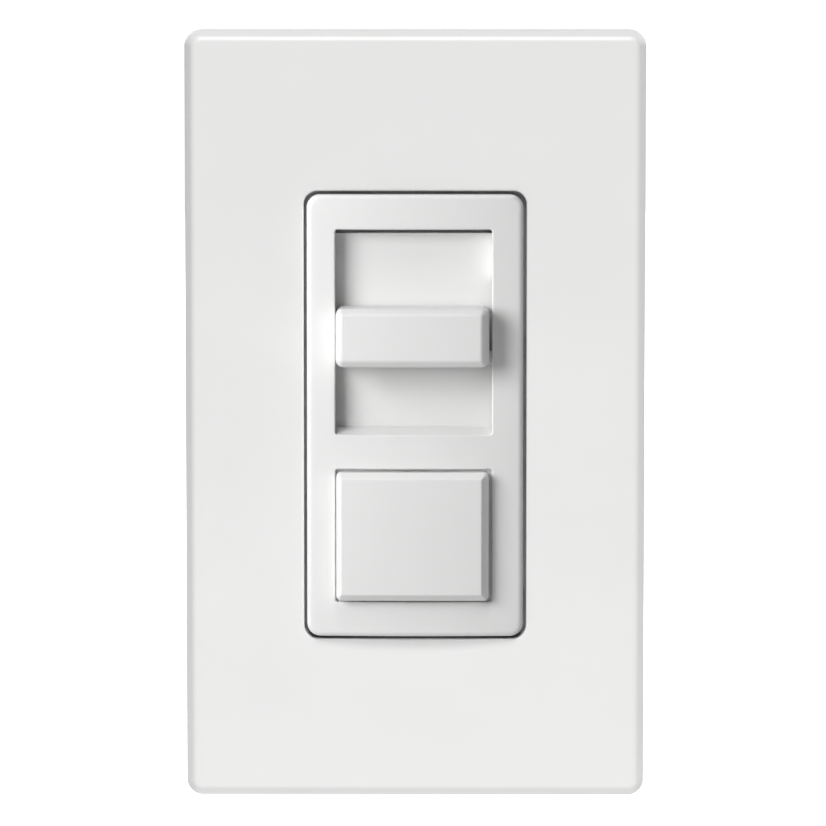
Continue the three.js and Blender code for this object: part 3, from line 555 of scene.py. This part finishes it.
def face_bezel():
    low, high = limits("face_bezel")
    front, back, under = low.y, -1.7, low.y + 1.2
    bend = crowned(high.x, 0.7)
    ledge = 0.7
    edge = 2.15
    holes = [inset(RECESS, -ledge), inset(OPENING, -ledge)]
    columns = levels(low.x + edge, holes[0][0], holes[0][1], high.x - edge, step=2)
    rows = levels(
        low.z + edge, holes[1][2], holes[1][3], holes[0][2], holes[0][3], high.z - edge, step=3
    )
    bm = bmesh.new()
    sheet(bm, columns, rows, lambda x, z: front + bend(x, z), holes)
    sheet(bm, columns, rows, lambda x, z: under, holes)
    outer = Outline(face_of("face_bezel"), 1.95, shares(columns), shares(rows), arc=10)
    path = soften([
        (edge, front, 0),
        (0, front, 0.85),
        (0, back, 0.2),
        (1.3, back, 0.2),
        (1.3, under, 0.2),
        (edge, under, 0),
    ], steps=6)
    skin(bm, bent_rings(outer, path, bend, front + 0.9))
    for hole in holes:
        shape = Outline(
            inset(hole, ledge), 0.35, shares(between(columns, hole[0], hole[1])),
            shares(between(rows, hole[2], hole[3])), arc=4,
        )
        path = soften([(-ledge, front, 0), (0, front, 0.28), (0, under, 0), (-ledge, under, 0)])
        skin(bm, bent_rings(shape, path, bend, front + 0.4))
    left, right, bottom, top = RECESS
    wall = 1
    slab(bm, (left - wall, right + wall, top, top + wall), under, RECESS_BACK, corner=0, edge=0)
    for x in (left - wall, right):
        side_wall = (x, x + wall, TONGUE_SLOT_TOP, top + 0.1)
        slab(bm, side_wall, under, RECESS_BACK, corner=0, edge=0)
    for z in (-30.8, 30.8):
        for x in (-7, 7):
            leg = (x - 1, x + 1, z - 0.6, z + 0.6)
            slab(bm, leg, under - 0.1, high.y, corner=0.2, edge=0.2)
    foot = bottom - 1.3
    slope_front = front + 0.7
    slope = [
        (slope_front, bottom),
        (RECESS_BACK, bottom + 0.9),
        (RECESS_BACK, foot),
        (slope_front, foot),
    ]
    prism(bm, slope, left, right)
    place("bezel_shell", mesh_of(bm, "bezel_shell"), "face_bezel")


def track_floor_panel():
    low, high = limits("track_floor_panel")
    back = low.y + 1
    bm = bmesh.new()
    slab(bm, face_of("track_floor_panel"), low.y, back, corner=0.6, edge=0.2, arc=4)
    for x in (-11, 11):
        for z0, z1 in ((-6.8, -4), (23.5, 26.5)):
            slab(bm, (x - 1, x + 1, z0, z1), back - 0.1, high.y, corner=0.3, edge=0.2)
    place("recess_floor", mesh_of(bm, "recess_floor"), "track_floor_panel")


# ---------------------------------------------------------------- slider knob and carriage

BEVEL_DEPTH = 0.9
LEAN = -0.18
PAD_LIP = 0.8       # how far the push button's flange reaches past its cap


def cap(bm, rect, front, path, corner, bend, edge, wall, step):
    """A hollow crowned cap: its face is a sheet inside edge, and path is its profile from there on.

    The face sits LEAN off the rim's middle, which makes the bevel on that side narrower.
    """
    x0, x1, z0, z1 = inset(rect, edge)
    columns = levels(x0, x1, step=step)
    rows = levels(z0, z1, step=step)
    sheet(bm, [x + LEAN for x in columns], rows, lambda x, z: front + bend(x - LEAN, z))
    shape = Outline(rect, corner, shares(columns), shares(rows), arc=6)
    rings = []
    for index, (offset, y) in enumerate(path):
        radius = 0 if index == 0 else max(0.1, min(corner - offset, corner + 1))
        ring = shape.ring(offset, y, radius, bend if y < front + wall else None)
        shift = LEAN * min(1, max(0, front + BEVEL_DEPTH - y) / BEVEL_DEPTH)
        rings.append([(x + shift, depth, z) for x, depth, z in ring])
    skin(bm, rings, last_cap=True)


def slider_knob():
    low, high = limits("slider_knob")
    front, back = low.y, -4.9
    pad = face_of("push_button")
    rect = (pad[0] + PAD_LIP, pad[1] - PAD_LIP, low.z, high.z)
    middle = (low.z + high.z) / 2
    wall = 1.5
    half_width = 11.45
    bend = crowned(half_width, 0.32, half_height=4.35, rise_z=0.08, z_middle=middle)
    edge = 1.6
    inside = front + wall + 0.6
    path = soften([
        (edge, front, 0),
        (0.95, front, 0.3),
        (0, front + BEVEL_DEPTH, 0.35),
        (0, back, 0.15),
        (wall, back, 0.15),
        (wall, inside, 0.3),
        (wall + 0.6, inside, 0),
    ])
    bm = bmesh.new()
    cap(bm, rect, front, path, 1.15, bend, edge, wall, step=1.2)
    # a tongue on each side goes out behind the bezel and back past the recess floor, and ends in a pin
    tongue = (low.z, low.z + 2.1)
    for side in (-1, 1):
        x0, x1 = sorted((side * (11.3 - wall + 0.4), side * high.x))
        slab(bm, (x0, x1, *tongue), -6, -4.7, corner=0.3, edge=0.2)
        x0, x1 = sorted((side * (high.x - 1.5), side * high.x))
        slab(bm, (x0, x1, *tongue), -5, -3.1, corner=0.2, edge=0.1)
        x = side * (high.x - 0.75)
        z = (tongue[0] + tongue[1]) / 2
        slab(bm, (x - 0.5, x + 0.5, z - 0.6, z + 0.6), -3.3, high.y, corner=0.15, edge=0.1)
    place("knob_cap", mesh_of(bm, "knob_cap"), "slider_knob")


# ---------------------------------------------------------------- push button and its spring

def push_button():
    low, high = limits("push_button")
    front, flange = low.y, -5.1
    rect = inset(face_of("push_button"), PAD_LIP)
    wall = 1.5
    edge = 1.5
    inside = front + wall
    bend = crowned(rect[1], 0.24)
    path = soften([
        (edge, front, 0),
        (0.95, front, 0.14),
        (0, front + 0.95, 0.14),
        (0, flange - 1, 0.15),
        (-PAD_LIP, flange - 1, 0.15),
        (-PAD_LIP, flange, 0.15),
        (wall, flange, 0.15),
        (wall, inside, 0.3),
        (wall + 0.6, inside, 0),
    ])
    bm = bmesh.new()
    cap(bm, rect, front, path, 0.75, bend, edge, wall, step=1.6)
    middle = (0, 0, (low.z + high.z) / 2)
    post = turned([
        (0, inside - 0.1),
        (2.5, inside - 0.1),
        (2.1, inside + 0.4),
        (2, inside + 0.9),
        (2, high.y - 0.25),
        (1.75, high.y),
        (0, high.y),
    ])
    lathe(bm, post, middle, (0, 1, 0), segments=32)
    place("button_cap", mesh_of(bm, "button_cap"), "push_button")


def button_return_spring():
    low, high = limits("button_return_spring")
    wire = 0.3
    radius = 3.4
    turns = 4.5
    steps = 216
    around = 10
    middle = Vector((0, 0, limits("switch_plunger")[0].z + 2))
    front, back = low.y + wire, high.y - wire
    bm = bmesh.new()
    rings = []
    for index in range(steps + 1):
        share = index / steps
        angle = share * turns * math.tau
        out = Vector((math.cos(angle), 0, math.sin(angle)))
        run = middle + Vector((0, front + (back - front) * share, 0)) + out * radius
        ring = []
        for part in range(around):
            turn = part / around * math.tau
            ring.append(run + out * (wire * math.cos(turn)) + Vector((0, wire * math.sin(turn), 0)))
        rings.append(ring)
    skin(bm, rings, first_cap=True, last_cap=True)
    coil = place("spring_coil", mesh_of(bm, "spring_coil"), "button_return_spring")
    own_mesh(coil)


# ---------------------------------------------------------------- fasteners

def screw_mesh(name, seat, axis, head, thickness, shank, length, slot_side):
    """A slotted pan-head screw whose head sits at seat and whose threaded shank runs along axis."""
    tip = 0.6
    profile = turned([
        (0, -thickness),
        (head * 0.5, -thickness * 0.995),
        (head * 0.72, -thickness * 0.95),
        (head * 0.86, -thickness * 0.84),
        (head * 0.95, -thickness * 0.64),
        (head, -thickness * 0.38),
        (head, -0.1),
        (head - 0.1, 0),
        (shank, 0),
    ])
    start, stop = 0.3, length - tip
    count = round((stop - start) / 0.1)
    profile += [(shank, start + (stop - start) * step / count, True) for step in range(count + 1)]
    profile += turned([(shank - tip, length), (0, length)])
    shape = bmesh.new()
    lathe(shape, profile, seat, axis)
    axis = Vector(axis)
    slot_side = Vector(slot_side)
    across = axis.cross(slot_side)
    # the slot is half as deep as the head, and its cutter widens a little towards the top
    cutter = bmesh.new()
    bottom = Vector(seat) - axis * (thickness * 0.5)
    half_length = head + 1
    rings = []
    for half_width, along in ((0.42, 0), (0.5, -0.08), (0.52, -thickness * 0.5 - 1)):
        middle = bottom + axis * along
        rings.append([middle + slot_side * half_length * a + across * half_width * b for a, b in SQUARE])
    skin(cutter, rings, first_cap=True, last_cap=True)
    return carved(mesh_of(shape, name), mesh_of(cutter, name + "_slot"))


# a screw's head radius, head thickness and shank radius
BOX_SCREW = (3.9, 1.8, 1.65)
ADAPTER_SCREW = (3.3, 0.85, 1.7)
TERMINAL_SCREW = (3.6, 1.9, 1.6)
GROUND_SCREW = (3.8, 1.9, 1.6)


def screws():
    for end in ("top", "bottom"):
        for kind, screw in (("box_screw", BOX_SCREW), ("adapter_screw", ADAPTER_SCREW)):
            node = f"{kind}_{end}"
            low, high = limits(node)
            seat = (0, low.y + screw[1], (low.z + high.z) / 2)
            name = f"{node}_body"
            mesh = screw_mesh(name, seat, (0, 1, 0), *screw, high.y - seat[1], (0, 0, 1))
            place(name, mesh, node)
    for wire in ("line", "load"):
        node = f"{wire}_terminal_screw"
        low, high = limits(node)
        side = 1 if low.x > 0 else -1
        outside = high.x if side > 0 else low.x
        inside = low.x if side > 0 else high.x
        seat = (outside - side * TERMINAL_SCREW[1], (low.y + high.y) / 2, (low.z + high.z) / 2)
        name = f"{node}_body"
        slant = Vector((0, math.cos(0.5 * side), math.sin(0.5 * side)))
        mesh = screw_mesh(name, seat, (-side, 0, 0), *TERMINAL_SCREW, abs(seat[0] - inside), slant)
        place(name, mesh, node)
    low, high = limits("ground_screw")
    seat = ((low.x + high.x) / 2, (low.y + high.y) / 2, low.z + GROUND_SCREW[1])
    slant = Vector((math.cos(0.6), math.sin(0.6), 0))
    mesh = screw_mesh("ground_screw_body", seat, (0, 0, 1), *GROUND_SCREW, high.z - seat[2], slant)
    place("ground_screw_body", mesh, "ground_screw")


def rivets():
    for number in range(1, 5):
        node = f"housing_rivet_{number}"
        low, high = limits(node)
        head = 0.7
        middle = ((low.x + high.x) / 2, low.y + head, (low.z + high.z) / 2)
        length = high.y - middle[1]
        profile = turned([
            (0, -head),
            (0.6, -0.68),
            (1.05, -0.58),
            (1.35, -0.4),
            (1.52, -0.15),
            (1.55, 0),
            (1.3, 0),
            (1.3, length - 0.3),
            (1, length),
            (0.8, length - 0.5),
            (0, length - 0.5),
        ])
        bm = bmesh.new()
        lathe(bm, profile, middle, (0, 1, 0), segments=32)
        place(f"{node}_body", mesh_of(bm, f"{node}_body"), node)


# ---------------------------------------------------------------- the rear housing's moulded detail

def housing_details():
    """Ribs, a blank raised label field, a strip-length gauge and ejector marks on the housing."""
    high = limits("rear_housing")[1]
    back = high.y
    sunk = back - 0.4
    half_rib = 0.5
    bm = bmesh.new()
    for z in (-31.5, 31.5):
        slab(bm, (-18, 18, z - half_rib, z + half_rib), sunk, back + 0.5, corner=0.3, edge=0.2)
    for x in (-18.2, 18.2):
        slab(bm, (x - half_rib, x + half_rib, -29.5, 29.5), sunk, back + 0.5, corner=0.3, edge=0.2)
    label = (-13.5, 13.5, -6, 17)
    slab(bm, label, sunk, back + 0.3, corner=1.5, edge=0.2, arc=6)
    gauge = ((-8, 8, -21.5, -19.5), (-8, -7, -19.6, -15), (7, 8, -19.6, -15))
    for bar, corner in zip(gauge, (0.4, 0.3, 0.3)):
        slab(bm, bar, sunk, back + 0.4, corner=corner, edge=0.2)
    disc = turned([
        (0, back - 0.3),
        (2, back - 0.3),
        (2, back + 0.12),
        (1.85, back + 0.2),
        (1.6, back + 0.2),
        (1.5, back + 0.08),
        (0, back + 0.08),
    ])
    for x in (-14, 14):
        for z in (-26, 25):
            lathe(bm, disc, (x, 0, z), (0, 1, 0), segments=32)
    root, rise = 0.3, 0.45
    for side in (-1, 1):
        face = side * high.x
        x0, x1 = sorted((face - side * root, face + side * rise))
        for z in (-27, -20, 6, 13, 20, 27):
            rib = (x0, x1, z - half_rib, z + half_rib)
            slab(bm, rib, 3, back - 3, corner=0.2, edge=0.2)
        for y in (6.4, 21.6):
            slab(bm, (x0, x1, -14.6, -1.4), y - 0.4, y + 0.4, corner=0.2, edge=0.2)
        end = side * high.z
        z0, z1 = sorted((end - side * root, end + side * rise))
        rib_start = 3 if side > 0 else 12
        for x in (-14, -7, 0, 7, 14):
            rib = (x - half_rib, x + half_rib, z0, z1)
            slab(bm, rib, rib_start, back - 3, corner=0.2, edge=0.2)
    place("housing_details", mesh_of(bm, "housing_details"), "rear_housing")


# ---------------------------------------------------------------- the other parts

def refined(node, width):
    """A CAD node with its flat faces joined up and its sharp edges rounded."""
    bm = bmesh.new()
    bm.from_mesh(frame["nodes"][node].data)
    bmesh.ops.scale(bm, vec=(MM_PER_METRE, MM_PER_METRE, MM_PER_METRE), verts=bm.verts)
    bmesh.ops.remove_doubles(bm, verts=bm.verts, dist=CAD_MERGE_DISTANCE)
    bmesh.ops.dissolve_limit(
        bm, angle_limit=math.radians(1), use_dissolve_boundaries=False, verts=bm.verts, edges=bm.edges
    )
    sharp = [
        edge for edge in bm.edges
        if len(edge.link_faces) == 2 and edge.calc_face_angle(0) > math.radians(ROUNDED_ANGLE)
    ]
    bmesh.ops.bevel(
        bm, geom=sharp, offset=width, segments=2, profile=0.5, affect="EDGES", clamp_overlap=True
    )
    name = f"{node}_finish"
    place(name, mesh_of(bm, name), node)


# the rounding of a refined node's edges; a node that isn't listed has the usual one
USUAL_EDGE_WIDTH = 0.08
EDGE_WIDTH = {
    "wallplate_adapter": 0.2,
    "mounting_strap": 0.12,
    "rear_housing": 0.3,
    "slider_carriage": 0.15,
    "circuit_board": 0.1,
    "suppression_capacitor": 0.5,
    "timing_capacitor": 0.3,
    "thermal_cutoff": 0.2,
    "switch_plunger": 0.25,
}

wallplate_cover()
face_bezel()
track_floor_panel()
slider_knob()
push_button()
button_return_spring()
screws()
rivets()
bare = [name for name in sorted(frame["nodes"]) if not frame["nodes"][name].hide_render]
for name in bare:
    refined(name, EDGE_WIDTH.get(name, USUAL_EDGE_WIDTH))
housing_details()


# ---------------------------------------------------------------- room, light and camera

def from_angles(azimuth, elevation):
    """A direction away from the object, in degrees; azimuth 0 is in front and 90 is on the right."""
    a, e = math.radians(azimuth), math.radians(elevation)
    return Vector((math.sin(a) * math.cos(e), -math.cos(a) * math.cos(e), math.sin(e)))


def area_light(name, aim, direction, distance, size, power, receivers):
    """A lamp of size (width, height) that stands in a direction from aim, faces it and lights receivers."""
    lamp = bpy.data.lights.new(name, "AREA")
    lamp.shape = "RECTANGLE"
    lamp.size, lamp.size_y = size
    lamp.energy = power
    holder = bpy.data.objects.new(name, lamp)
    holder.location = Vector(aim) + direction.normalized() * distance
    holder.rotation_mode = "QUATERNION"
    holder.rotation_quaternion = direction.to_track_quat("Z", "Y")
    holder.visible_camera = False
    bpy.context.scene.collection.objects.link(holder)
    lit = bpy.data.collections.new(f"{name}_receivers")
    for receiver in receivers:
        lit.objects.link(receiver)
    holder.light_linking.receiver_collection = lit


FLOOR_HEIGHT = -0.12
CARD_HEIGHT = -0.11


def studio_floor():
    """A plain pale floor under the object, which sends no light back to it."""
    bm = bmesh.new()
    # in metres, drawn upright and then laid flat
    rim = Outline((-2.5, 2.5, -3, 3.2), 0.8, arc=12)
    skin(bm, [rim.ring(0, 0)], first_cap=True)
    mesh = bpy.data.meshes.new("studio_floor")
    bmesh.ops.rotate(bm, matrix=Matrix.Rotation(math.radians(90), 3, "X"), verts=bm.verts)
    bm.to_mesh(mesh)
    bm.free()
    material, tree, shader = new_material("studio_floor")
    drift = noise(tree, object_coordinates(tree), 0.6, detail=3)
    tree.links.new(ramp(tree, drift, (0.87, 0.87, 0.87), (0.9, 0.9, 0.9)), shader.inputs["Base Color"])
    shader.inputs["Roughness"].default_value = 0.7
    mesh.materials.append(material)
    floor = bpy.data.objects.new("studio_floor", mesh)
    floor.location = (0, 0, FLOOR_HEIGHT)
    bpy.context.scene.collection.objects.link(floor)
    floor.visible_diffuse = False
    floor.visible_glossy = False
    return floor


def studio_world():
    """A white surrounding that the camera sees bright, mirrors see half as bright, and that lights little."""
    world = bpy.data.worlds.new("studio")
    world.use_nodes = True
    bpy.context.scene.world = world
    tree = world.node_tree
    background = tree.nodes["Background"]
    background.inputs["Color"].default_value = (1, 1, 1, 1)
    ray = tree.nodes.new("ShaderNodeLightPath")
    mirrored = tree.nodes.new("ShaderNodeMath")
    mirrored.operation = "MULTIPLY_ADD"
    mirrored.inputs[1].default_value = 0.5
    mirrored.inputs[2].default_value = 0.05
    total = tree.nodes.new("ShaderNodeMath")
    total.operation = "ADD"
    tree.links.new(ray.outputs["Is Glossy Ray"], mirrored.inputs[0])
    tree.links.new(ray.outputs["Is Camera Ray"], total.inputs[0])
    tree.links.new(mirrored.outputs["Value"], total.inputs[1])
    tree.links.new(total.outputs["Value"], background.inputs["Strength"])


INSERT = ("bezel_shell", "recess_floor", "knob_cap", "button_cap", "slider_carriage_finish", "spring_coil")
CENTRE = (0, 0, 0)
WIDE = (0.8, 0.8)


def studio_lights(floor):
    """Lamps for the insert, for the rest of the object and for the floor."""
    insert = [PIECES[name] for name in INSERT]
    rest = [piece for name, piece in PIECES.items() if name not in INSERT]
    # name, azimuth and elevation, distance, size, watts and what it lights
    lamps = (
        ("insert_key", (-43, 18), 0.38, (0.24, 0.24), 1.34, insert),
        ("insert_top", (0, 62), 2.5, WIDE, 10.8, insert),
        ("plate_top", (0, 55), 2.5, WIDE, 30, rest),
        ("plate_front", (0, 30), 2.5, WIDE, 25, rest),
        ("back_left", (-140, 30), 1.2, WIDE, 4.5, rest + insert),
        ("back_right", (130, 25), 1.2, WIDE, 4.5, rest + insert),
    )
    for name, angles, distance, size, power, receivers in lamps:
        area_light(name, CENTRE, from_angles(*angles), distance, size, power, receivers)
    area_light("floor_wash", (0, 0.1, FLOOR_HEIGHT), Vector((0, 0, 1)), 2, (4.6, 5.8), 330, [floor])
    # cards that face up from just above the floor stand in for its glow on the object
    for name, power, receivers in (("plate_card", 1.7, rest), ("insert_card", 0.95, insert)):
        area_light(name, (0, -0.1, CARD_HEIGHT), Vector((0, 0, -1)), 0, WIDE, power, receivers)


def studio_camera():
    """A long lens in front of the object, a little above its middle."""
    aim = Vector((-0.0003, -0.0058, 0.0004))
    away = from_angles(0.5, 5.1)
    distance = 0.77
    camera_data = bpy.data.cameras.new("camera")
    camera_data.sensor_width = 36
    camera_data.lens = 226
    camera = bpy.data.objects.new("camera", camera_data)
    camera.location = aim + away * distance
    camera.rotation_mode = "QUATERNION"
    camera.rotation_quaternion = away.to_track_quat("Z", "Y")
    bpy.context.scene.collection.objects.link(camera)
    bpy.context.scene.camera = camera


studio_world()
studio_lights(studio_floor())
studio_camera()
bpy.context.scene.view_settings.view_transform = "Standard"
bpy.context.scene.view_settings.gamma = 0.85
